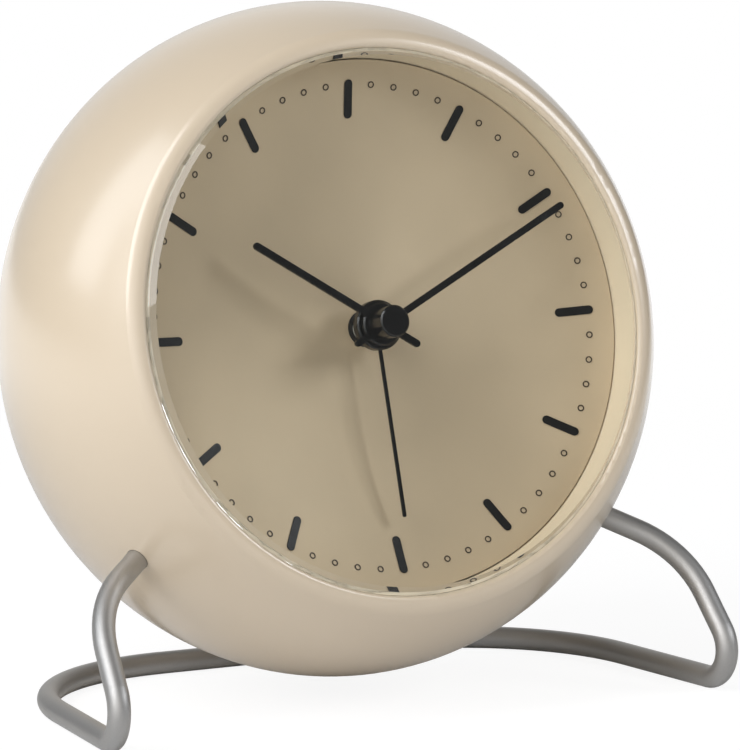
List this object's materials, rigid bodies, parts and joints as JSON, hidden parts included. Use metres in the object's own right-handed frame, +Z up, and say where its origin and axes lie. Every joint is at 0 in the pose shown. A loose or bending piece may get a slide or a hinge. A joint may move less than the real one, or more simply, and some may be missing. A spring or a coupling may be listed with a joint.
{
  "type": "table clock",
  "caption": "Round alarm table clock with a leaning dial under flat glass, black hands, setting knobs at the back and a bent steel rod stand.",
  "frame": {"origin": "on the table plane, at the middle of the bounding box in X and Y", "axes": "+Z up, +X to the right when facing the dial, +Y from the dial to the back cover"},
  "size_m": [0.1134, 0.0736, 0.1121],
  "materials": {
    "sand_plastic": "satin gloss",
    "back_plastic": "fine matt",
    "frame_plastic": "matt",
    "clear_glass": "polished, bevelled edge",
    "dial_metal": "satin champagne",
    "black_paint": "gloss",
    "dial_print": "printed ink",
    "stand_steel": "satin",
    "screw_steel": "zinc plated",
    "battery_wrap": "printed sleeve without words",
    "spring_steel": "nickel plated",
    "lead_cover": "smooth",
    "stem_brass": "turned",
    "switch_black": "matt",
    "switch_grey": "matt",
    "movement_white": "moulded",
    "gear_plastic": "moulded",
    "magnet_dark": "dark",
    "motor_iron": "stamped sheet",
    "copper_wire": "enamelled winding",
    "board_green": "solder mask",
    "crystal_can": "drawn"
  },
  "bodies": {
    "clock_body": {"case_shell": "sand_plastic", "glass": "clear_glass", "dial_frame": "frame_plastic", "dial_plate": "dial_metal", "hour_bars": "black_paint", "minute_rings": "dial_print", "stand": "stand_steel", "back_cover": "back_plastic", "cover_screws": "screw_steel", "frame_screws": "screw_steel", "battery": "battery_wrap", "battery_spring": "spring_steel", "battery_contact": "spring_steel", "battery_leads": "lead_cover", "switch_body": "switch_grey", "buzzer": "stem_brass", "movement_front": "movement_white", "movement_back": "movement_white", "movement_screws": "screw_steel", "stator": "motor_iron", "coil": "copper_wire", "circuit_board": "board_green", "quartz_crystal": "crystal_can", "driver_chip": "switch_black", "alarm_contact": "stem_brass"},
    "minute_hand": {"minute_hand": "black_paint", "hand_cap": "black_paint", "minute_arbor": "stem_brass"},
    "hour_hand": {"hour_hand": "black_paint", "hour_wheel": "gear_plastic"},
    "alarm_hand": {"alarm_hand": "black_paint", "alarm_wheel": "gear_plastic"},
    "minute_wheel": {"minute_wheel": "gear_plastic"},
    "time_knob": {"time_knob": "back_plastic", "time_stem": "stem_brass"},
    "alarm_knob": {"alarm_knob": "back_plastic", "alarm_stem": "stem_brass"},
    "rotor": {"rotor": "magnet_dark"},
    "step_wheel": {"step_wheel": "gear_plastic"},
    "third_wheel": {"third_wheel": "stem_brass"},
    "centre_wheel": {"centre_wheel": "stem_brass"},
    "alarm_switch": {"alarm_switch": "switch_black"},
    "battery_door": {"battery_door": "back_plastic"}
  },
  "joints": [
    {"name": "minute_hand_turn", "type": "hinge", "parent": "clock_body", "child": "minute_hand", "pos_m": [0, -0.01593, 0.06164], "axis": [0, 0.9703, -0.2419], "continuous": true},
    {"name": "hour_hand_turn", "type": "hinge", "parent": "clock_body", "child": "hour_hand", "pos_m": [0, -0.01593, 0.06164], "axis": [0, 0.9703, -0.2419], "continuous": true},
    {"name": "minute_wheel_turn", "type": "hinge", "parent": "clock_body", "child": "minute_wheel", "pos_m": [0.0013, -0.01304, 0.07321], "axis": [0, 0.9703, -0.2419], "continuous": true},
    {"name": "time_knob_turn", "type": "hinge", "parent": "clock_body", "child": "time_knob", "pos_m": [0.013, -0.01467, 0.06668], "axis": [0, 0.9703, -0.2419], "continuous": true},
    {"name": "alarm_hand_turn", "type": "hinge", "parent": "clock_body", "child": "alarm_hand", "pos_m": [0, -0.01593, 0.06164], "axis": [0, 0.9703, -0.2419], "continuous": true},
    {"name": "alarm_knob_turn", "type": "hinge", "parent": "clock_body", "child": "alarm_knob", "pos_m": [-0.013, -0.01467, 0.06668], "axis": [0, 0.9703, -0.2419], "continuous": true},
    {"name": "rotor_turn", "type": "hinge", "parent": "clock_body", "child": "rotor", "pos_m": [0.01311, -0.01916, 0.04868], "axis": [0, 0.9703, -0.2419], "continuous": true},
    {"name": "step_wheel_turn", "type": "hinge", "parent": "clock_body", "child": "step_wheel", "pos_m": [0.00229, -0.01986, 0.04587], "axis": [0, 0.9703, -0.2419], "continuous": true},
    {"name": "third_wheel_turn", "type": "hinge", "parent": "clock_body", "child": "third_wheel", "pos_m": [-0.00688, -0.01831, 0.0521], "axis": [0, 0.9703, -0.2419], "continuous": true},
    {"name": "centre_wheel_turn", "type": "hinge", "parent": "clock_body", "child": "centre_wheel", "pos_m": [0, -0.01593, 0.06164], "axis": [0, 0.9703, -0.2419], "continuous": true},
    {"name": "alarm_switch_slide", "type": "slide", "parent": "clock_body", "child": "alarm_switch", "axis": [1, 0, 0], "range_m": [0, 0.004]},
    {"name": "battery_door_hinge", "type": "hinge", "parent": "clock_body", "child": "battery_door", "pos_m": [0, 0.019, 0.02524], "axis": [-1, 0, 0], "range_deg": [0, 85]}
  ],
  "couplings": [
    {"joint": "hour_hand_turn", "follows": "minute_hand_turn", "ratio": 0.083333},
    {"joint": "minute_wheel_turn", "follows": "minute_hand_turn", "ratio": -0.33333},
    {"joint": "time_knob_turn", "follows": "minute_hand_turn", "ratio": 0.66667},
    {"joint": "alarm_knob_turn", "follows": "alarm_hand_turn", "ratio": -2.5},
    {"joint": "step_wheel_turn", "follows": "rotor_turn", "ratio": -0.16667},
    {"joint": "third_wheel_turn", "follows": "rotor_turn", "ratio": 0.027778},
    {"joint": "centre_wheel_turn", "follows": "rotor_turn", "ratio": -0.0055556}
  ]
}
